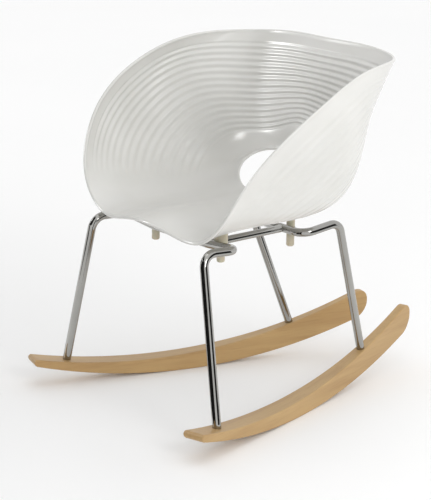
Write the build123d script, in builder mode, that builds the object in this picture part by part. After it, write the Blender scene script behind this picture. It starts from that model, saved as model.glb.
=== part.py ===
from build123d import *
import math
import os
import numpy as np

# Rocking armchair. Origin on the floor, midway between the points where the two soles touch it.
# +Z is up and the sitter faces -Y, so +X is the sitter's left. Millimetres.

os.makedirs("parts", exist_ok=True)

# ---------------------------------------------------------------- rockers
rocker_spacing = 378        # between the two soles where they touch the floor
rocker_toe_in = 15.4        # degrees, the rockers close towards the rear
sole_radius = 1337          # radius of the sole, seen from the side
front_reach = 360           # along a rocker, from the floor contact to each tip
rear_reach = 456
contact_depth = 37.3        # height of the wood above the floor contact
top_advance = 78            # the top face is the sole's arc again, lowest this much further forward
front_foot = -280           # along a rocker, from the floor contact to each leg
rear_foot = 261
front_tip_width = 47.4
contact_width = 40.8
rear_foot_width = 26.2
rear_tip_width = 19
front_tip_lean = 5          # the top edge stops this short of the sole at each tip
rear_tip_lean = 20
front_tip_rounding = 6
rear_tip_rounding = 27
edge_rounding = 2.5

# ---------------------------------------------------------------- tube frame
tube_diameter = 18
tube_wall = 2
bend_radius = 28
rail_diameter = 16
rail_wall = 1.5
front_corner = Vector(186, -251, 386)       # where a leg turns to run back under the seat
front_turn = Vector(188, -162.5, 382)       # where it turns inwards as the cross tube
front_sag = Vector(92, -162.5, 373.5)       # where the cross tube levels off
sag_radius = 150
rear_corner = Vector(155, 139, 389)
rear_turn = Vector(150, 44, 375.5)
front_rail_x = 90
rear_rail_x = 86

# ---------------------------------------------------------------- leg joints
front_socket = 8            # how deep a leg sits in the wood
rear_socket = 20
front_web = 5               # wood left between leg end and washer
rear_web = 17
socket_clearance = 0.15
plug_length = 24
plug_clearance = 0.05
bolt_diameter = 8
bolt_engagement = 16        # bolt length inside the plug
bolt_head_diameter = 13
bolt_head_height = 5
bolt_hole_diameter = 9
washer_diameter = 18
washer_thickness = 1.6
counterbore_diameter = 20

# ---------------------------------------------------------------- seat fixings
front_fixing_x = 110
rear_fixing_x = 88
front_cap_gap = 1           # between a cap and the cross tube beside it
rear_cap_gap = 1.5
front_spacer_diameter = 28
rear_spacer_diameter = 18
cap_diameter = 17
cap_dome_height = 4
front_cap_length = 37
rear_cap_length = 40
lug_thickness = 3
lug_width = 20
stud_diameter = 6
stud_in_cap = 22
insert_diameter = 9
insert_length = 10
boss_foot_height = 398      # the bosses under the shell all end at this height
front_boss_diameter = 28
rear_boss_diameter = 16
fit_clearance = 0.1

# ---------------------------------------------------------------- seat shell
shell_wall = 5
hole_radius = 64
hole_centre = Vector(0, 62, 497)
hole_lean_top = 69          # degrees from upright of the hole's upper and lower edge
hole_lean_bottom = 41.5

# Left half of the rim, from the middle of the back over the arm to the middle of the front lip.
rim = [
    (0, 238, 752), (120, 238, 752), (220, 213, 745), (281, 84, 734), (304, -47, 687), (298, -137, 628),
    (268, -209, 541), (226, -240, 453), (159, -248, 403), (80, -258, 409), (0, -268, 420),
]
# Sections from the hole to the rim. Each row: share of the rim's length, angle on the hole in
# degrees, pull of the curve where it leaves the hole, pull where it arrives at the rim.
sections = [
    (0.00, 90, (0, 52, 63), (0, -55, -96)),
    (0.20, 70, (80, 46, 7), (-2, -65, -88)),
    (0.36, 50, (197, 44, -24), (47, -7, -74)),
    (0.55, 25, (266, 37, -97), (41, 35, -80)),
    (0.72, 0, (207, 4, -104), (15, 54, -35)),
    (0.83, -35, (120, -38, -65), (-19, 66, 19)),
    (0.90, -60, (50, -76, -49), (-22, 75, 23)),
    (1.00, -90, (0, -110, -32), (0, 84, 23)),
]


def smooth_curve(stations, values, at):
    """Cubic spline through the values, carried on past both ends as its own mirror image about
    the middle plane, so that the left and right halves of the chair meet without a crease."""
    t = np.array(stations, float)
    v = np.array(values, float)
    flip = np.array([-1, 1, 1])
    t = np.concatenate([-t[:0:-1], t, 2 * t[-1] - t[-2::-1]])
    v = np.concatenate([v[:0:-1] * flip, v, v[-2::-1] * flip])
    step = np.diff(t)[:, None]
    slope = np.diff(v, axis=0) / step
    system = np.eye(len(t))
    for i in range(1, len(t) - 1):
        system[i, i - 1:i + 2] = step[i - 1, 0], 2 * (step[i - 1, 0] + step[i, 0]), step[i, 0]
    bend = np.zeros_like(v)
    bend[1:-1] = 6 * np.diff(slope, axis=0)
    bend = np.linalg.solve(system, bend)
    k = np.clip(np.searchsorted(t, at) - 1, 0, len(t) - 2)
    s = (at - t[k])[:, None]
    h = step[k]
    first = slope[k] - h * (2 * bend[k] + bend[k + 1]) / 6
    return v[k] + s * first + s**2 * bend[k] / 2 + s**3 * (bend[k + 1] - bend[k]) / (6 * h)


def shell_surface(u, v):
    """Points of the shell's upper surface. u runs along the rim from the middle of the back to
    the middle of the front, v from the hole to the rim on a cubic curve with two pulls."""
    lengths = np.linalg.norm(np.diff(np.array(rim, float), axis=0), axis=1)
    rim_stations = np.concatenate([[0], np.cumsum(lengths)]) / lengths.sum()
    stations = [row[0] for row in sections]
    on_rim = smooth_curve(rim_stations, rim, u)
    rim_pull = smooth_curve(stations, [row[3] for row in sections], u)
    hole_pull = smooth_curve(stations, [row[2] for row in sections], u)
    turns = np.radians([row[1] for row in sections])
    round_hole = smooth_curve(stations, np.column_stack([np.cos(turns), np.sin(turns), 0 * turns]), u)
    round_hole = round_hole / np.linalg.norm(round_hole, axis=1)[:, None]
    lean = hole_lean_bottom + (hole_lean_top - hole_lean_bottom) * (round_hole[:, 1] + 1) / 2
    lean = np.radians(lean)
    up = hole_radius * round_hole[:, 1]
    on_hole = np.column_stack([hole_radius * round_hole[:, 0], up * np.sin(lean), up * np.cos(lean)])
    on_hole = on_hole + np.array([hole_centre.X, hole_centre.Y, hole_centre.Z])
    v = v[:, None, None]
    near_hole = 3 * (1 - v)**2 * v * (on_hole + hole_pull)
    near_rim = 3 * (1 - v) * v**2 * (on_rim + rim_pull)
    return (1 - v)**3 * on_hole + near_hole + near_rim + v**3 * on_rim


u_steps = np.linspace(-0.03, 1.03, 54)      # a little past the middle plane at both ends
v_steps = np.linspace(0, 1, 17)
shell_rows = [[Vector(*point) for point in row] for row in shell_surface(u_steps, v_steps)]
shell_face = Face.make_surface_from_array_of_points(shell_rows, tol=0.05)


# ---------------------------------------------------------------- bent tubes
def bent_bar(points, radii, diameter):
    """Round bar along straight runs joined by tangent bends."""
    with BuildPart() as bar:
        with BuildLine() as line:
            FilletPolyline(*points, radius=radii)
        path = line.wire()
        with BuildSketch(Plane(origin=path @ 0, z_dir=path % 0)):
            Circle(diameter / 2)
        sweep(path=path)
    return bar.part


def other_side(place):
    return Vector(-place.X, place.Y, place.Z)


toe_in = math.radians(rocker_toe_in)
along = Vector(-math.sin(toe_in), math.cos(toe_in))
across = Vector(math.cos(toe_in), math.sin(toe_in))
contact = Vector(rocker_spacing / 2, 0)


def arc_height(s):
    """Rise of the sole's arc at a distance from its lowest point."""
    return sole_radius - math.sqrt(sole_radius**2 - s**2)


def wood_top(s):
    return contact_depth + arc_height(s + top_advance) - arc_height(top_advance)


front_foot_place = contact + along * front_foot + Vector(0, 0, wood_top(front_foot))
rear_foot_place = contact + along * rear_foot + Vector(0, 0, wood_top(rear_foot))
front_leg_way = (front_corner - front_foot_place).normalized()
rear_leg_way = (rear_corner - rear_foot_place).normalized()
front_leg_end = front_foot_place - front_leg_way * front_socket
rear_leg_end = rear_foot_place - rear_leg_way * rear_socket

front_left_half = [front_leg_end, front_corner, front_turn, front_sag]
front_points = front_left_half + [other_side(p) for p in reversed(front_left_half)]
front_radii = [bend_radius, bend_radius, sag_radius, sag_radius, bend_radius, bend_radius]
rear_left_half = [rear_leg_end, rear_corner, rear_turn]
rear_points = rear_left_half + [other_side(p) for p in reversed(rear_left_half)]
rear_radii = [bend_radius, bend_radius, bend_radius, bend_radius]

front_bar = bent_bar(front_points, front_radii, tube_diameter)
rear_bar = bent_bar(rear_points, rear_radii, tube_diameter)
front_bore = bent_bar(front_points, front_radii, tube_diameter - 2 * tube_wall)
rear_bore = bent_bar(rear_points, rear_radii, tube_diameter - 2 * tube_wall)

with BuildPart() as front_leg_hoop:
    add(front_bar)
    add(front_bore, mode=Mode.SUBTRACT)
front_leg_hoop.part.label = "front_leg_hoop"
export_step(front_leg_hoop.part, "parts/front_leg_hoop.step")

with BuildPart() as rear_leg_hoop:
    add(rear_bar)
    add(rear_bore, mode=Mode.SUBTRACT)
rear_leg_hoop.part.label = "rear_leg_hoop"
export_step(rear_leg_hoop.part, "parts/rear_leg_hoop.step")

front_fixing = Vector(front_fixing_x, front_turn.Y + (tube_diameter + cap_diameter) / 2 + front_cap_gap)
rear_fixing = Vector(rear_fixing_x, rear_turn.Y + (tube_diameter + cap_diameter) / 2 + rear_cap_gap)
front_fixing_height = front_sag.Z + (front_turn.Z - front_sag.Z) * (front_fixing.X - front_sag.X) / (
    front_turn.X - front_sag.X)
rear_fixing_height = rear_turn.Z

rail_start = Vector(front_rail_x, front_sag.Y, front_sag.Z)
rail_run = Vector(rear_rail_x, rear_turn.Y, rear_turn.Z) - rail_start


def straight_bar(diameter):
    with BuildPart() as bar:
        with BuildSketch(Plane(origin=rail_start, z_dir=rail_run)):
            Circle(diameter / 2)
        extrude(amount=rail_run.length)
    return bar.part


rail_bar = straight_bar(rail_diameter)
rail_bore = straight_bar(rail_diameter - 2 * rail_wall)

with BuildPart() as side_rail_left:
    add(rail_bar)
    add(rail_bore, mode=Mode.SUBTRACT)
    add(front_bar, mode=Mode.SUBTRACT)
    add(rear_bar, mode=Mode.SUBTRACT)
side_rail_left.part.label = "side_rail_left"
export_step(side_rail_left.part, "parts/side_rail_left.step")

with BuildPart() as side_rail_right:
    mirror(side_rail_left.part, about=Plane.YZ)
side_rail_right.part.label = "side_rail_right"
export_step(side_rail_right.part, "parts/side_rail_right.step")

# ---------------------------------------------------------------- rockers and their leg joints
# Each leg joint: where the leg enters the wood, its way up, its depth in the wood, wood below it.
leg_joints = [
    (front_foot_place, front_leg_way, front_socket, front_web),
    (rear_foot_place, rear_leg_way, rear_socket, rear_web),
]

with BuildPart() as rocker_left:
    with BuildSketch(Plane(origin=contact, x_dir=along, z_dir=across)):
        with BuildLine():
            sole = ThreePointArc(
                (-front_reach, arc_height(front_reach)), (0, 0), (rear_reach, arc_height(rear_reach)))
            front_top = front_tip_lean - front_reach
            rear_top = rear_reach - rear_tip_lean
            top = ThreePointArc(
                (front_top, wood_top(front_top)), (0, contact_depth), (rear_top, wood_top(rear_top)))
            Line(sole @ 0, top @ 0)
            Line(sole @ 1, top @ 1)
        make_face()
        fillet(vertices().sort_by(Axis.X)[:2], radius=front_tip_rounding)
        fillet(vertices().sort_by(Axis.X)[-2:], radius=rear_tip_rounding)
    extrude(amount=front_tip_width, both=True)
    plan_plane = Plane(origin=contact, x_dir=along, z_dir=(0, 0, 1))
    with BuildSketch(plan_plane):
        with BuildLine():
            widths = [
                (-front_reach, front_tip_width), (0, contact_width), (rear_foot, rear_foot_width),
                (rear_reach, rear_tip_width),
            ]
            outer_side = Spline(*[(s, width / 2) for s, width in widths])
            inner_side = Spline(*[(s, -width / 2) for s, width in widths])
            Line(outer_side @ 0, inner_side @ 0)
            Line(outer_side @ 1, inner_side @ 1)
        make_face()
    extrude(amount=rear_reach, mode=Mode.INTERSECT)
    fillet(edges(), radius=edge_rounding)
    for foot, way, socket, web in leg_joints:
        with BuildSketch(Plane(origin=foot - way * socket, z_dir=way)):
            Circle(tube_diameter / 2 + socket_clearance)
        extrude(amount=3 * tube_diameter, mode=Mode.SUBTRACT)
        with BuildSketch(Plane(origin=foot - way * socket, z_dir=-way)):
            Circle(bolt_hole_diameter / 2)
        extrude(amount=web, mode=Mode.SUBTRACT)
        with BuildSketch(Plane(origin=foot - way * (socket + web), z_dir=-way)):
            Circle(counterbore_diameter / 2)
        extrude(amount=3 * tube_diameter, mode=Mode.SUBTRACT)
rocker_left.part.label = "rocker_left"
export_step(rocker_left.part, "parts/rocker_left.step")

with BuildPart() as rocker_right:
    mirror(rocker_left.part, about=Plane.YZ)
rocker_right.part.label = "rocker_right"
export_step(rocker_right.part, "parts/rocker_right.step")

with BuildPart() as leg_end_plugs:
    for foot, way, socket, _ in leg_joints:
        with BuildSketch(Plane(origin=foot - way * socket, z_dir=way)):
            Circle(tube_diameter / 2 - tube_wall - plug_clearance)
            Circle(bolt_diameter / 2 + fit_clearance, mode=Mode.SUBTRACT)
        extrude(amount=plug_length)
    mirror(about=Plane.YZ)
leg_end_plugs.part.label = "leg_end_plugs"
export_step(leg_end_plugs.part, "parts/leg_end_plugs.step")

with BuildPart() as rocker_washers:
    for foot, way, socket, web in leg_joints:
        with BuildSketch(Plane(origin=foot - way * (socket + web), z_dir=-way)):
            Circle(washer_diameter / 2)
            Circle(bolt_diameter / 2 + fit_clearance, mode=Mode.SUBTRACT)
        extrude(amount=washer_thickness)
    mirror(about=Plane.YZ)
rocker_washers.part.label = "rocker_washers"
export_step(rocker_washers.part, "parts/rocker_washers.step")

with BuildPart() as rocker_bolts:
    for foot, way, socket, web in leg_joints:
        under_head = foot - way * (socket + web + washer_thickness)
        with BuildSketch(Plane(origin=under_head, z_dir=-way)):
            Circle(bolt_head_diameter / 2)
        extrude(amount=bolt_head_height)
        with BuildSketch(Plane(origin=under_head - way * bolt_head_height, z_dir=way)):
            RegularPolygon(radius=bolt_diameter / 3, side_count=6)
        extrude(amount=bolt_head_height / 2, mode=Mode.SUBTRACT)
        with BuildSketch(Plane(origin=under_head, z_dir=way)):
            Circle(bolt_diameter / 2)
        extrude(amount=washer_thickness + web + bolt_engagement)
    mirror(about=Plane.YZ)
rocker_bolts.part.label = "rocker_bolts"
export_step(rocker_bolts.part, "parts/rocker_bolts.step")


# ---------------------------------------------------------------- seat shell and its fixings
def post_under_shell(place, bottom, diameter):
    """Round post that stands at a height and ends inside the wall of the shell."""
    upright = Axis((place.X, place.Y, bottom), (0, 0, 1))
    surface_point, surface_normal = shell_face.find_intersection_points(upright)[0]
    if surface_normal.Z < 0:
        surface_normal = -surface_normal
    with BuildPart() as post:
        with BuildSketch(Plane.XY.offset(bottom)):
            with Locations((place.X, place.Y)):
                Circle(diameter / 2)
        extrude(amount=surface_point.Z - bottom + diameter)
        split(bisect_by=Plane(origin=surface_point - surface_normal * shell_wall / 2, z_dir=surface_normal),
              keep=Keep.BOTTOM)
    return post.part


front_boss = post_under_shell(front_fixing, boss_foot_height, front_boss_diameter)
rear_boss = post_under_shell(rear_fixing, boss_foot_height, rear_boss_diameter)

with BuildPart() as seat_shell:
    thicken(shell_face, amount=shell_wall)
    split(bisect_by=Plane.YZ, keep=Keep.TOP)
    add(front_boss)
    add(rear_boss)
    for place in (front_fixing, rear_fixing):
        with BuildSketch(Plane.XY.offset(boss_foot_height)):
            with Locations((place.X, place.Y)):
                Circle(insert_diameter / 2 + fit_clearance)
        extrude(amount=insert_length + fit_clearance, mode=Mode.SUBTRACT)
    mirror(about=Plane.YZ)
seat_shell.part.label = "seat_shell"
export_step(seat_shell.part, "parts/seat_shell.step")

with BuildPart() as shell_inserts:
    for place in (front_fixing, rear_fixing):
        with BuildSketch(Plane.XY.offset(boss_foot_height)):
            with Locations((place.X, place.Y)):
                Circle(insert_diameter / 2)
                Circle(stud_diameter / 2 + fit_clearance, mode=Mode.SUBTRACT)
        extrude(amount=insert_length)
    mirror(about=Plane.YZ)
shell_inserts.part.label = "shell_inserts"
export_step(shell_inserts.part, "parts/shell_inserts.step")

with BuildPart() as shell_studs:
    for place, height in ((front_fixing, front_fixing_height), (rear_fixing, rear_fixing_height)):
        stud_foot = height - lug_thickness / 2 - stud_in_cap
        with BuildSketch(Plane.XY.offset(stud_foot)):
            with Locations((place.X, place.Y)):
                Circle(stud_diameter / 2)
        extrude(amount=boss_foot_height + insert_length - stud_foot)
    chamfer(edges().filter_by(GeomType.CIRCLE), length=stud_diameter / 8)
    mirror(about=Plane.YZ)
shell_studs.part.label = "shell_studs"
export_step(shell_studs.part, "parts/shell_studs.step")

# Each fixing: its name, plan place, lug height, spacer and cap sizes, cross tube and where it runs.
fixings = [
    ("front", front_fixing, front_fixing_height, front_spacer_diameter, front_cap_length,
     front_bar, front_turn.Y),
    ("rear", rear_fixing, rear_fixing_height, rear_spacer_diameter, rear_cap_length,
     rear_bar, rear_turn.Y),
]
for name, place, height, spacer_diameter, cap_length, bar, bar_y in fixings:
    for side, sign in (("left", 1), ("right", -1)):
        centre = (sign * place.X, place.Y)
        lug_bottom = height - lug_thickness / 2

        with BuildPart() as lug:
            with BuildSketch(Plane.XY.offset(lug_bottom)):
                with Locations(centre):
                    Circle(lug_width / 2)
                with Locations((sign * place.X, (place.Y + bar_y) / 2)):
                    Rectangle(lug_width, place.Y - bar_y)
                with Locations(centre):
                    Circle(stud_diameter / 2 + fit_clearance, mode=Mode.SUBTRACT)
            extrude(amount=lug_thickness)
            add(bar, mode=Mode.SUBTRACT)
            add(solids().sort_by(Axis.Y)[-1], mode=Mode.REPLACE)    # only the side with the stud
        lug.part.label = f"lug_{name}_{side}"
        export_step(lug.part, f"parts/lug_{name}_{side}.step")

        with BuildPart() as cap_nut:
            with BuildSketch(Plane.XY.offset(lug_bottom)):
                with Locations(centre):
                    Circle(cap_diameter / 2)
            extrude(amount=-cap_length)
            fillet(edges().group_by(Axis.Z)[0], radius=cap_dome_height)
            with BuildSketch(Plane.XY.offset(lug_bottom)):
                with Locations(centre):
                    Circle(stud_diameter / 2 + fit_clearance)
            extrude(amount=-stud_in_cap - fit_clearance, mode=Mode.SUBTRACT)
        cap_nut.part.label = f"cap_nut_{name}_{side}"
        export_step(cap_nut.part, f"parts/cap_nut_{name}_{side}.step")

    with BuildPart() as spacer_left:
        with BuildSketch(Plane.XY.offset(height + lug_thickness / 2)):
            with Locations((place.X, place.Y)):
                Circle(spacer_diameter / 2)
                Circle(stud_diameter / 2 + fit_clearance, mode=Mode.SUBTRACT)
        extrude(amount=boss_foot_height - height - lug_thickness / 2)
        add(bar, mode=Mode.SUBTRACT)
        add(rail_bar, mode=Mode.SUBTRACT)
    spacer_left.part.label = f"spacer_{name}_left"
    export_step(spacer_left.part, f"parts/spacer_{name}_left.step")

    with BuildPart() as spacer_right:
        mirror(spacer_left.part, about=Plane.YZ)
    spacer_right.part.label = f"spacer_{name}_right"
    export_step(spacer_right.part, f"parts/spacer_{name}_right.step")
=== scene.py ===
import math
import bpy
import numpy as np
from mathutils import Matrix


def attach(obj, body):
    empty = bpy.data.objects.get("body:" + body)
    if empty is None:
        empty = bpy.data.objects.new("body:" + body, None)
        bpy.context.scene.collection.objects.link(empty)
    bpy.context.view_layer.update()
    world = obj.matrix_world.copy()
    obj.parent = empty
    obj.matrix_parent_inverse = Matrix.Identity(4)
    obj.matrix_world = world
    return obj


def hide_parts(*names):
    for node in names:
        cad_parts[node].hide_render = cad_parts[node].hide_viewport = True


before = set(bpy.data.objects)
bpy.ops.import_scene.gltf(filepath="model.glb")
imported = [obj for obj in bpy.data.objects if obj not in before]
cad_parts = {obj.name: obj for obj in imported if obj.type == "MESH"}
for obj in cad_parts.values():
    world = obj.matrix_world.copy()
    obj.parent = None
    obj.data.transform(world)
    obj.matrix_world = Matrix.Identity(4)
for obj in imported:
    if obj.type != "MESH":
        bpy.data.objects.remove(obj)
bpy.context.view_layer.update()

# Seat shell. One moulded tub of white polypropylene, 5 mm thick, with a round hole low in the
# back, half-ring ribs over the back and a beaded rim. Its four bosses are left out of this mesh.
mm = 0.001
shell_wall = 5
hole_radius = 64
hole_centre = np.array([0, 62, 497])
hole_lean_top = 69
hole_lean_bottom = 41.5
rim = [
    (0, 238, 752), (120, 238, 752), (220, 213, 745), (281, 84, 734), (304, -47, 687), (298, -137, 628),
    (268, -209, 541), (226, -240, 453), (159, -248, 403), (80, -258, 409), (0, -268, 420),
]
# Each section from the hole to the rim: share of the rim's length, angle on the hole in degrees,
# pull of the curve where it leaves the hole, pull where it arrives at the rim.
sections = [
    (0.00, 90, (0, 52, 63), (0, -55, -96)),
    (0.20, 70, (80, 46, 7), (-2, -65, -88)),
    (0.36, 50, (197, 44, -24), (47, -7, -74)),
    (0.55, 25, (266, 37, -97), (41, 35, -80)),
    (0.72, 0, (207, 4, -104), (15, 54, -35)),
    (0.83, -35, (120, -38, -65), (-19, 66, 19)),
    (0.90, -60, (50, -76, -49), (-22, 75, 23)),
    (1.00, -90, (0, -110, -32), (0, 84, 23)),
]
rib_count = 15
outermost_rib = 0.894       # share of the way from hole to rim
rib_pitch = 0.045
rib_height = 1.35
outside_rib_share = 0.45    # the ribs show less on the outside
rib_fade = (0.60, 0.78)     # share of the rim's length over which the ribs die out
bead_swell = 1.3            # the rim's bead is this much thicker than the wall, each way
bead_start = 0.968


def smooth_curve(stations, values, at):
    """Cubic spline through the values, carried on past both ends as its own mirror image about
    the middle plane. Between two stations: value, slope, half the bend, a sixth of its change."""
    t = np.array(stations, float)
    v = np.array(values, float)
    flip = np.array([-1, 1, 1])
    t = np.concatenate([-t[:0:-1], t, 2 * t[-1] - t[-2::-1]])
    v = np.concatenate([v[:0:-1] * flip, v, v[-2::-1] * flip])
    step = np.diff(t)[:, None]
    slope = np.diff(v, axis=0) / step
    inner = np.arange(1, len(t) - 1)
    system = np.eye(len(t))
    system[inner, inner - 1] = step[:-1, 0]
    system[inner, inner] = 2 * (step[:-1, 0] + step[1:, 0])
    system[inner, inner + 1] = step[1:, 0]
    bend = np.zeros_like(v)
    bend[1:-1] = 6 * np.diff(slope, axis=0)
    bend = np.linalg.solve(system, bend)
    k = np.clip(np.searchsorted(t, at) - 1, 0, len(t) - 2)
    s = (at - t[k])[:, None]
    h = step[k]
    first = slope[k] - h * (2 * bend[k] + bend[k + 1]) / 6
    return v[k] + s * first + s**2 * bend[k] / 2 + s**3 * (bend[k + 1] - bend[k]) / (6 * h)


def shell_surface(u, v):
    """Upper surface: a cubic curve from hole to rim at each station, weights (1-v)^3, 3(1-v)^2 v,
    3(1-v) v^2 and v^3 on the hole point, its pull, the rim's pull and the rim point."""
    lengths = np.linalg.norm(np.diff(np.array(rim, float), axis=0), axis=1)
    rim_stations = np.concatenate([[0], np.cumsum(lengths)]) / lengths.sum()
    stations = [row[0] for row in sections]
    on_rim = smooth_curve(rim_stations, rim, u)
    rim_pull = smooth_curve(stations, [row[3] for row in sections], u)
    hole_pull = smooth_curve(stations, [row[2] for row in sections], u)
    turns = np.radians([row[1] for row in sections])
    round_hole = smooth_curve(stations, np.column_stack([np.cos(turns), np.sin(turns), 0 * turns]), u)
    round_hole = round_hole / np.linalg.norm(round_hole, axis=1)[:, None]
    lean = hole_lean_bottom + (hole_lean_top - hole_lean_bottom) * (round_hole[:, 1] + 1) / 2
    lean = np.radians(lean)
    up = hole_radius * round_hole[:, 1]
    on_hole = np.column_stack([hole_radius * round_hole[:, 0], up * np.sin(lean), up * np.cos(lean)])
    on_hole = on_hole + hole_centre
    v = v[:, None, None]
    near_hole = 3 * (1 - v)**2 * v * (on_hole + hole_pull)
    near_rim = 3 * (1 - v) * v**2 * (on_rim + rim_pull)
    return (1 - v)**3 * on_hole + near_hole + near_rim + v**3 * on_rim


def ramp(x, low, high):
    """0 below low, 1 above high, and the smooth cubic 3x^2 - 2x^3 between them."""
    x = np.clip((x - low) / (high - low), 0, 1)
    return x * x * (3 - 2 * x)


def whole_ring(u_count, v):
    """The left half's columns, then the right half's as their mirror image, one closed ring."""
    u = np.linspace(0, 1, u_count + 1)
    left = shell_surface(u, v)
    right = left[:, -2:0:-1] * np.array([-1, 1, 1])
    return np.concatenate([left, right], axis=1), np.concatenate([u, u[-2:0:-1]])


def unit(vectors):
    """Each vector divided by its own length."""
    return vectors / np.linalg.norm(vectors, axis=-1, keepdims=True)


def grid_mesh(name, points, closed_across=True, capped=False):
    """Mesh of a grid of points in millimetres: rows by columns of quads, each row closed on itself,
    and the rows closed as a ring too, or capped at both ends with a fan to the row's middle."""
    rows, columns = points.shape[:2]
    index = np.arange(rows * columns).reshape(rows, columns)
    here = index if closed_across else index[:-1]
    above = np.roll(index, -1, axis=0) if closed_across else index[1:]
    quads = np.stack([here, np.roll(here, -1, axis=1), np.roll(above, -1, axis=1), above], axis=-1)
    faces = quads.reshape(-1, 4).tolist()
    vertices = points.reshape(-1, 3)
    if capped:
        middles = [points[0].mean(axis=0)[None], points[-1].mean(axis=0)[None]]
        vertices = np.concatenate([vertices, *middles])
        first, last = index[0], index[-1]
        middle = rows * columns
        start = np.stack([np.roll(first, -1), first, np.full(columns, middle)], axis=-1)
        end = np.stack([last, np.roll(last, -1), np.full(columns, middle + 1)], axis=-1)
        faces = faces + start.tolist() + end.tolist()
    mesh = bpy.data.meshes.new(name)
    mesh.from_pydata((vertices * mm).tolist(), [], faces)
    mesh.polygons.foreach_set("use_smooth", np.ones(len(mesh.polygons), bool))
    mesh.update()
    piece = bpy.data.objects.new(name, mesh)
    bpy.context.scene.collection.objects.link(piece)
    return piece


def shell_skins(u_count, v):
    """Inner and outer skin and the way each leaves the wall. The ribs are one cosine wave along
    the section, let in and out smoothly at both ends and where the back turns into the seat."""
    surface, u = whole_ring(u_count, v)
    around = np.roll(surface, -1, axis=1) - np.roll(surface, 1, axis=1)
    along = np.gradient(surface, v, axis=0)
    outward = unit(np.cross(along, around))
    lowest_rib = outermost_rib - rib_pitch * (rib_count - 1)
    half = rib_pitch / 2
    here = ramp(v, lowest_rib - half, lowest_rib) * (1 - ramp(v, outermost_rib, outermost_rib + half))
    wave = np.cos(2 * math.pi * (v - outermost_rib) / rib_pitch) * here
    rib = rib_height * wave[:, None] * (1 - ramp(u, *rib_fade))[None, :]
    swell = bead_swell * ramp(v, bead_start, 1)[:, None, None]
    rib = rib[:, :, None]
    inside = surface + outward * (rib - swell)
    outside = surface + outward * (shell_wall + outside_rib_share * rib + swell)
    return inside, outside, unit(along)


def rounded_edge(start, end, way, count):
    """Half circle of points from one skin's edge to the other's, bulging the given way."""
    middle = (start + end) / 2
    arm = (start - end) / 2
    reach = np.linalg.norm(arm, axis=-1, keepdims=True)
    turn = np.linspace(0, math.pi, count + 2)[1:-1, None, None]
    return middle + arm * np.cos(turn) + way * reach * np.sin(turn)


half_rim_steps = 120
plain_steps = 14            # where the wall has no ribs, near the hole and near the rim
ribbed_steps = 150
edge_steps = 7
v_steps = np.concatenate([
    np.linspace(0.008, 0.22, plain_steps),
    np.linspace(0.226, 0.93, ribbed_steps),
    np.linspace(0.935, 0.99, plain_steps),
])
inside, outside, along = shell_skins(half_rim_steps, v_steps)
rim_edge = rounded_edge(inside[-1], outside[-1], along[-1], edge_steps)
hole_edge = rounded_edge(outside[0], inside[0], -along[0], edge_steps)
shell = grid_mesh("seat_tub", np.concatenate([inside, rim_edge, outside[::-1], hole_edge]))
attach(shell, "root")
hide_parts("seat_shell")


class Value:
    """A node socket that can be used in arithmetic, each operation adding one Math node."""

    def __init__(self, tree, socket):
        self.tree = tree
        self.socket = socket

    def math(self, operation, first, second):
        return self.node("ShaderNodeMath", {"operation": operation}, {0: first, 1: second})

    def __add__(self, other):
        return self.math("ADD", self, other)

    def __sub__(self, other):
        return self.math("SUBTRACT", self, other)

    def __rsub__(self, other):
        return self.math("SUBTRACT", other, self)

    def __mul__(self, other):
        return self.math("MULTIPLY", self, other)

    __radd__ = __add__
    __rmul__ = __mul__

    def node(self, kind, settings, inputs, output=0):
        """Adds a node of a type, sets its settings and then its sockets, and gives one output."""
        made = self.tree.nodes.new(kind)
        for key, setting in settings.items():
            if key == "stops":
                ramp_stops = made.color_ramp.elements
                while len(ramp_stops) < len(setting):
                    ramp_stops.new(0.5)
                for stop, (position, colour) in zip(ramp_stops, setting):
                    stop.position = position
                    stop.color = (*colour, 1)
            else:
                setattr(made, key, setting)
        for key, given in inputs.items():
            if isinstance(given, Value):
                self.tree.links.new(given.socket, made.inputs[key])
            else:
                made.inputs[key].default_value = given
        return Value(self.tree, made.outputs[output])


def new_material(name, constants):
    """A material with one shader, its constants set, and a start for its object coordinates."""
    material = bpy.data.materials.new(name)
    material.use_nodes = True
    tree = material.node_tree
    shader = tree.nodes["Principled BSDF"]
    for key, given in constants.items():
        shader.inputs[key].default_value = given
    place = Value(tree, None).node("ShaderNodeTexCoord", {}, {}, "Object")
    return material, shader, place


def feed(shader, **links):
    """Links values that change over the surface to the shader's sockets of those names."""
    for key, value in links.items():
        value.tree.links.new(value.socket, shader.inputs[key.replace("_", " ")])


def speckle(place, scale, detail=2.0):
    """Noise from 0 to 1, with a larger scale giving smaller spots."""
    sockets = {"Vector": place, "Scale": scale, "Detail": detail}
    return place.node("ShaderNodeTexNoise", {}, sockets, "Fac")


def two_tone(mask, low, high):
    """Colour that goes from low to high as the mask goes from 0.3 to 0.7."""
    stops = [(0.3, low), (0.7, high)]
    return mask.node("ShaderNodeValToRGB", {"stops": stops}, {"Fac": mask}, "Color")


def bumped(height, strength, distance):
    """Normal tilted by the slope of a height."""
    sockets = {"Strength": strength, "Distance": distance, "Height": height}
    return height.node("ShaderNodeBump", {}, sockets, "Normal")


def paint(piece, material):
    """Gives a piece, or a CAD node, one material in every slot."""
    if not piece.data.materials:
        piece.data.materials.append(material)
    for i in range(len(piece.data.materials)):
        piece.data.materials[i] = material


shell_plastic, shader, place = new_material("white_shell_plastic", {
    "Subsurface Weight": 0.05, "Subsurface Radius": (0.02, 0.018, 0.015),
    "Subsurface Scale": 0.2, "IOR": 1.49})
cloudy = speckle(place, 9.0)
feed(shader, Base_Color=two_tone(cloudy, (0.68, 0.675, 0.645), (0.725, 0.72, 0.695)),
     Roughness=speckle(place, 40.0) * 0.06 + 0.2, Normal=bumped(speckle(place, 900.0), 0.05, 0.0005))
paint(shell, shell_plastic)

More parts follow.
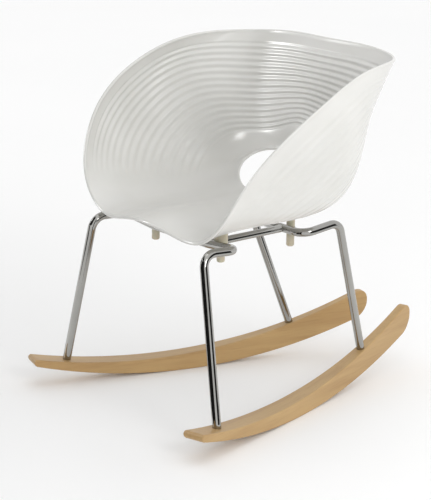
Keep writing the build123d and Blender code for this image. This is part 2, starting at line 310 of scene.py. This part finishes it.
# Plastic fixings. Cream spacers sit on the lugs and carry the shell's bosses, and cream domed
# nuts close the studs from below. Both are moulded in a harder plastic that has yellowed a little.
cream_plastic, shader, place = new_material("cream_plastic", {
    "Subsurface Weight": 0.08, "Subsurface Scale": 0.1})
feed(shader, Base_Color=two_tone(speckle(place, 60.0), (0.46, 0.42, 0.31), (0.55, 0.51, 0.39)),
     Roughness=speckle(place, 90.0) * 0.1 + 0.35, Normal=bumped(speckle(place, 1200.0), 0.08, 0.0003))
for end in ("front", "rear"):
    for side in ("left", "right"):
        paint(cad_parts[f"spacer_{end}_{side}"], cream_plastic)
        paint(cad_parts[f"cap_nut_{end}_{side}"], cream_plastic)

# Leg hoops and side rails. Two 18 mm steel tubes, each bent from one length into two legs and a
# cross tube, joined by two welded 16 mm rails with their lugs, then polished and chromed.
tube_radius = 9
rail_radius = 8
bend_radius = 28
sag_radius = 150
front_corner = np.array([186, -251, 386])
front_turn = np.array([188, -162.5, 382])
front_sag = np.array([92, -162.5, 373.5])
rear_corner = np.array([155, 139, 389])
rear_turn = np.array([150, 44, 375.5])
front_rail_x = 90
rear_rail_x = 86
leg_in_wood = 4             # how far a drawn leg runs on below the top of the wood
rocker_spacing = 378
rocker_toe_in = math.radians(15.4)
sole_radius = 1337
contact_depth = 37.3
top_advance = 78
front_foot = -280
rear_foot = 261
rocker_along = np.array([-math.sin(rocker_toe_in), math.cos(rocker_toe_in), 0])
rocker_across = np.array([math.cos(rocker_toe_in), math.sin(rocker_toe_in), 0])
rocker_contact = np.array([rocker_spacing / 2, 0, 0])
upward = np.array([0, 0, 1])


def arc_height(s):
    """Rise of a circle of the sole's radius at a distance from its lowest point."""
    return sole_radius - np.sqrt(sole_radius**2 - s**2)


def wood_top(s):
    """Height of the top face: the sole's arc again, lowest further forward."""
    return contact_depth + arc_height(s + top_advance) - arc_height(top_advance)


def bent_line(corners, radii, spacing=2.5, longest_step=12):
    """Points along straight runs joined by arcs: each arc leaves its corner's two runs at
    r tan(half the turn) and turns about a centre on the bisector."""
    line = [corners[0][None]]
    for before, corner, after, radius in zip(corners, corners[1:], corners[2:], radii):
        back = unit(before - corner)
        on = unit(after - corner)
        half = (math.pi - math.acos(back @ on)) / 2
        start = corner + back * radius * math.tan(half)
        inwards = unit(back + on)
        centre = corner + inwards * radius / math.cos(half)
        turn = np.linspace(0, 2 * half, max(4, int(2 * half * radius / spacing)))[:, None]
        line.append(centre + (start - centre) * np.cos(turn) - back * radius * np.sin(turn))
    line.append(corners[-1][None])
    line = np.concatenate(line)
    runs = np.linalg.norm(np.diff(line, axis=0), axis=1)
    distance = np.concatenate([[0], np.cumsum(runs)])
    even = [np.linspace(a, b, max(1, int((b - a) / longest_step)), endpoint=False)
            for a, b in zip(distance, distance[1:])]
    even = np.concatenate(even + [distance[-1:]])
    return np.column_stack([np.interp(even, distance, line[:, i]) for i in range(3)])


def carried(line, profile):
    """A profile of (sideways, upwards) points carried along a line without twist: each frame is
    the last one turned only as far as the line itself turns."""
    ways = unit(np.gradient(line, axis=0))
    side = unit(np.cross(ways[0], upward))
    rows = []
    for point, way in zip(line, ways):
        side = unit(side - way * (side @ way))
        rows.append(point + profile[:, :1] * side + profile[:, 1:] * np.cross(side, way))
    return np.array(rows)


def circle(radius, count=32):
    """Points (r cos a, r sin a) at even angles."""
    turn = np.arange(count) * 2 * math.pi / count
    return radius * np.column_stack([np.cos(turn), np.sin(turn)])


other_side = np.array([-1, 1, 1])
front_leg_foot = rocker_contact + rocker_along * front_foot + upward * (wood_top(front_foot) - leg_in_wood)
rear_leg_foot = rocker_contact + rocker_along * rear_foot + upward * (wood_top(rear_foot) - leg_in_wood)
front_half = [front_leg_foot, front_corner, front_turn, front_sag]
rear_half = [rear_leg_foot, rear_corner, rear_turn]
front_line = bent_line(front_half + [p * other_side for p in front_half[::-1]],
                       [bend_radius, bend_radius, sag_radius, sag_radius, bend_radius, bend_radius])
rear_line = bent_line(rear_half + [p * other_side for p in rear_half[::-1]], [bend_radius] * 4)

chrome, shader, place = new_material("polished_chrome", {"Metallic": 1.0, "IOR": 1.5})
feed(shader, Base_Color=two_tone(speckle(place, 12.0), (0.35, 0.345, 0.33), (0.42, 0.415, 0.395)),
     Roughness=speckle(place, 55.0, 4.0) * 0.06 + 0.05, Normal=bumped(speckle(place, 30.0), 0.03, 0.001))

for name, line in (("front_hoop_tube", front_line), ("rear_hoop_tube", rear_line)):
    hoop = grid_mesh(name, carried(line, circle(tube_radius)), closed_across=False, capped=True)
    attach(hoop, "root")
    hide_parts(name.replace("hoop_tube", "leg_hoop"))
    paint(hoop, chrome)

for side, sign in (("left", 1), ("right", -1)):
    rail_front = np.array([sign * front_rail_x, front_sag[1], front_sag[2]])
    rail_rear = np.array([sign * rear_rail_x, rear_turn[1], rear_turn[2]])
    share = np.linspace(0, 1, 20)[:, None]
    line = rail_front + share * (rail_rear - rail_front)
    rail = grid_mesh(f"rail_tube_{side}", carried(line, circle(rail_radius)),
                     closed_across=False, capped=True)
    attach(rail, "root")
    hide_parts(f"side_rail_{side}")
    paint(rail, chrome)
    paint(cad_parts[f"lug_front_{side}"], chrome)
    paint(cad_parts[f"lug_rear_{side}"], chrome)

# Rockers. Each is sawn from one board of pale hardwood: a curved sole, a top face that lies
# deeper towards the rear, sides that draw in to the rear, eased edges and an oiled finish.
front_reach = 360
rear_reach = 456
front_tip_width = 47.4
contact_width = 40.8
rear_foot_width = 26.2
rear_tip_width = 19
front_tip_rounding = 7
rear_tip_rounding = 29
edge_rounding = 2.5


def rocker_width(s):
    """Width of the board: one cubic through its four stations."""
    stations = np.array([-front_reach, 0, rear_foot, rear_reach])
    widths = np.array([front_tip_width, contact_width, rear_foot_width, rear_tip_width])
    return np.polyval(np.polyfit(stations, widths, 3), s)


def eased_rectangle(width, low, high, rounding, count=5):
    """Closed outline of a board's section, its four edges eased with quarter circles. A point
    stands a little way along each flat, so that the shading turns only at the edges."""
    turn = np.linspace(0, math.pi / 2, count)
    flat = min(0.6, 0.25 * (high - low - 2 * rounding))
    corners = []
    for k, (x, z) in enumerate([(1, 1), (-1, 1), (-1, -1), (1, -1)]):
        angle = turn + k * math.pi / 2
        level = high - rounding if z > 0 else low + rounding
        arc = np.column_stack([x * (width / 2 - rounding) + rounding * np.cos(angle),
                               level + rounding * np.sin(angle)])
        before = arc[:1] - flat * np.array([-math.sin(angle[0]), math.cos(angle[0])])
        after = arc[-1:] + flat * np.array([-math.sin(angle[-1]), math.cos(angle[-1])])
        corners.append(np.concatenate([before, arc, after]))
    return np.concatenate(corners)


def rocker_rows(sign):
    """Sections along the board. Within a tip's rounding r, a section at the angle a lies
    r (1 - cos a) from the tip and its top and bottom close in by r (1 - sin a)."""
    front_angles = np.linspace(0, math.pi / 2, 8)
    rear_angles = np.linspace(math.pi / 2, 0, 16)
    middle = np.linspace(-front_reach + front_tip_rounding, rear_reach - rear_tip_rounding, 80)[1:-1]
    stations = np.concatenate([
        -front_reach + front_tip_rounding * (1 - np.cos(front_angles)), middle,
        rear_reach - rear_tip_rounding * (1 - np.cos(rear_angles)),
    ])
    closing = np.concatenate([
        front_tip_rounding * (1 - np.sin(front_angles)), 0 * middle,
        rear_tip_rounding * (1 - np.sin(rear_angles)),
    ])
    rows = []
    for s, close in zip(stations, closing):
        low = arc_height(s) + close
        high = wood_top(s) - close
        section = eased_rectangle(rocker_width(s), low, high, min(edge_rounding, 0.49 * (high - low)))
        place = rocker_contact + rocker_along * s
        rows.append(place + section[:, :1] * rocker_across + section[:, 1:] * upward)
    return np.array(rows)[:, ::sign] * np.array([sign, 1, 1])


def rocker_wood(name, heading):
    """Pale oiled beech. The grain is noise stretched along the board, with finer pores over it."""
    material, shader, place = new_material(name, {"IOR": 1.45, "Coat Weight": 0.12, "Coat Roughness": 0.3})
    turned = place.node("ShaderNodeMapping", {"vector_type": "POINT"}, {
        "Vector": place, "Rotation": (0, 0, heading)}, "Vector")
    drawn_out = turned.node("ShaderNodeVectorMath", {"operation": "MULTIPLY"}, {
        0: turned, 1: (26, 1.6, 26)}, "Vector")
    figure = drawn_out.node("ShaderNodeTexNoise", {}, {
        "Vector": drawn_out, "Scale": 1.6, "Detail": 4.0, "Distortion": 0.6}, "Fac")
    fine = turned.node("ShaderNodeVectorMath", {"operation": "MULTIPLY"}, {
        0: turned, 1: (420, 14, 420)}, "Vector")
    pores = fine.node("ShaderNodeTexNoise", {}, {"Vector": fine, "Scale": 1.0, "Detail": 2.0}, "Fac")
    base = two_tone(figure, (0.41, 0.25, 0.10), (0.50, 0.33, 0.145))
    darker = pores.node("ShaderNodeMix", {"data_type": "RGBA", "blend_type": "MULTIPLY"}, {
        "Factor": (pores - 0.5) * 0.9, "A": base, "B": (0.55, 0.42, 0.30, 1)}, "Result")
    feed(shader, Base_Color=darker, Roughness=figure * 0.15 + 0.38, Normal=bumped(pores, 0.12, 0.0004))
    return material


for side, sign in (("left", 1), ("right", -1)):
    rocker = grid_mesh(f"rocker_board_{side}", rocker_rows(sign), closed_across=False, capped=True)
    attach(rocker, "root")
    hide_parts(f"rocker_{side}")
    paint(rocker, rocker_wood(f"beech_{side}", -sign * rocker_toe_in))

# Hidden hardware. Brass inserts in the bosses, zinc plated studs, plugs, bolts and washers, all
# turned or pressed parts with a dull plated finish.
brass, shader, place = new_material("turned_brass", {"Metallic": 1.0})
feed(shader, Base_Color=two_tone(speckle(place, 80.0), (0.60, 0.44, 0.18), (0.72, 0.55, 0.26)),
     Roughness=speckle(place, 200.0) * 0.2 + 0.2)
zinc, shader, place = new_material("zinc_plated_steel", {"Metallic": 1.0})
feed(shader, Base_Color=two_tone(speckle(place, 70.0), (0.50, 0.51, 0.53), (0.62, 0.63, 0.65)),
     Roughness=speckle(place, 260.0) * 0.2 + 0.28)
paint(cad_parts["shell_inserts"], brass)
for node in ("shell_studs", "leg_end_plugs", "rocker_bolts", "rocker_washers"):
    paint(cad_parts[node], zinc)

# Studio. A pale floor, a white surround, dark cards that the camera does not see for the chrome
# to mirror, and three lights. None of it belongs to the chair. Sizes here are in metres.
floor_reach = 12.0
floor_corners = [(x * floor_reach, y * floor_reach, 0) for x, y in ((-1, -1), (1, -1), (1, 1), (-1, 1))]
floor_mesh = bpy.data.meshes.new("studio_floor")
floor_mesh.from_pydata(floor_corners, [], [(0, 1, 2, 3)])
floor = bpy.data.objects.new("studio_floor", floor_mesh)
bpy.context.scene.collection.objects.link(floor)
floor_paint, shader, place = new_material("pale_floor", {"Roughness": 0.6, "Specular IOR Level": 0.2})
feed(shader, Base_Color=two_tone(speckle(place, 1.0), (0.96, 0.96, 0.96), (0.97, 0.97, 0.97)))
paint(floor, floor_paint)


def dark_card(name, corners):
    """Black card that shows in mirror reflections and not to the camera."""
    mesh = bpy.data.meshes.new(name)
    mesh.from_pydata(corners, [], [tuple(range(len(corners)))])
    card = bpy.data.objects.new(name, mesh)
    bpy.context.scene.collection.objects.link(card)
    card.visible_camera = False
    card.visible_diffuse = False
    card.visible_shadow = False
    card.visible_transmission = False
    paint(card, black_card)
    return card


def polar(azimuth, distance, height):
    """Place at a distance from the chair, its azimuth in degrees from the front to the left."""
    angle = math.radians(azimuth)
    return (distance * math.sin(angle), -distance * math.cos(angle), height)


def floor_card(name, start, end, near):
    """Card just over the floor, between two azimuths, from a near distance out to the wall."""
    dark_card(name, [polar(start, near, card_lift), polar(start, wall_distance, card_lift),
                     polar(end, wall_distance, card_lift), polar(end, near, card_lift)])


def wall_card(name, start, end, distance, bottom, top):
    """Upright card between two azimuths."""
    return dark_card(name, [polar(start, distance, bottom), polar(start, distance, top),
                            polar(end, distance, top), polar(end, distance, bottom)])


card_lift = 0.004
wall_distance = 4
wall_height = 1.6
black_card = new_material("black_card", {"Base Color": (0.01, 0.01, 0.01, 1), "Roughness": 1.0})[0]
floor_card("dark_floor_right", 84, 132, 1.0)
wall_card("dark_wall_right", 84, 132, wall_distance, 0, wall_height)
floor_card("dark_floor_left", -38, -12, 1.2)
dark_card("dark_near_leg", [(0.04, -0.40, 0.02), (0.37, -0.40, 0.02),
                            (0.37, -0.40, 0.52), (0.04, -0.40, 0.52)])
wall_card("dark_wall_left", -38, -12, wall_distance, 0, wall_height)
flag = wall_card("dark_flag_left", -62, 14, 1.7, 0.5, 2.2)
flag.visible_diffuse = True     # this one also shades the shell from the front left

world = bpy.data.worlds.new("studio_surround")
world.use_nodes = True
background = world.node_tree.nodes["Background"]
background.inputs["Strength"].default_value = 1.0
background.inputs["Color"].default_value = (1.0, 1.0, 1.0, 1)
bpy.context.scene.world = world
bpy.context.scene.view_settings.view_transform = "Standard"


def soft_light(name, place, target, size, power):
    """Rectangular area light that faces a target."""
    lamp = bpy.data.lights.new(name, "AREA")
    lamp.shape = "RECTANGLE"
    lamp.size, lamp.size_y = size
    lamp.energy = power
    holder = bpy.data.objects.new(name, lamp)
    bpy.context.scene.collection.objects.link(holder)
    stand = np.array(place, float)
    back = unit(stand - np.array(target, float))
    side = unit(np.cross(upward, back))
    lift = np.cross(back, side)
    matrix = np.eye(4)
    matrix[:3, 0], matrix[:3, 1], matrix[:3, 2], matrix[:3, 3] = side, lift, back, stand
    holder.matrix_world = Matrix(matrix)
    return holder


soft_light("overhead_soft", (0.3, -0.2, 3.2), (0, 0, 0.4), (1.6, 1.6), 6)
gleam = soft_light("front_left_gleam", (-2.4, -2.6, 2.0), (0, 0, 0.5), (0.7, 1.6), 130)
gleam.visible_diffuse = False   # highlights only
soft_light("front_right_soft", (3.0, -0.5, 1.7), (0, 0.1, 0.5), (0.9, 1.2), 20)

# Camera. A long lens, from the front left of the sitter, a little above the seat.
camera_azimuth = math.radians(50.927)
camera_elevation = math.radians(14.926)
camera_roll = math.radians(1.0985)
camera_place = np.array([2906.3, -2428.9, 1344.8])
back_way = np.array([math.sin(camera_azimuth) * math.cos(camera_elevation),
                     -math.cos(camera_azimuth) * math.cos(camera_elevation), math.sin(camera_elevation)])
level_right = np.array([math.cos(camera_azimuth), math.sin(camera_azimuth), 0])
level_up = np.cross(back_way, level_right)
right_way = level_right * math.cos(camera_roll) + level_up * math.sin(camera_roll)
up_way = np.cross(back_way, right_way)
lens = bpy.data.cameras.new("portrait_lens")
lens.sensor_fit = "HORIZONTAL"
lens.sensor_width = 36.0
lens.lens = 153.41
lens.shift_y = -0.0226
lens.clip_end = 100.0
camera = bpy.data.objects.new("view_camera", lens)
bpy.context.scene.collection.objects.link(camera)
pose = np.eye(4)
pose[:3, 0], pose[:3, 1], pose[:3, 2], pose[:3, 3] = right_way, up_way, back_way, camera_place * mm
camera.matrix_world = Matrix(pose)
bpy.context.scene.camera = camera
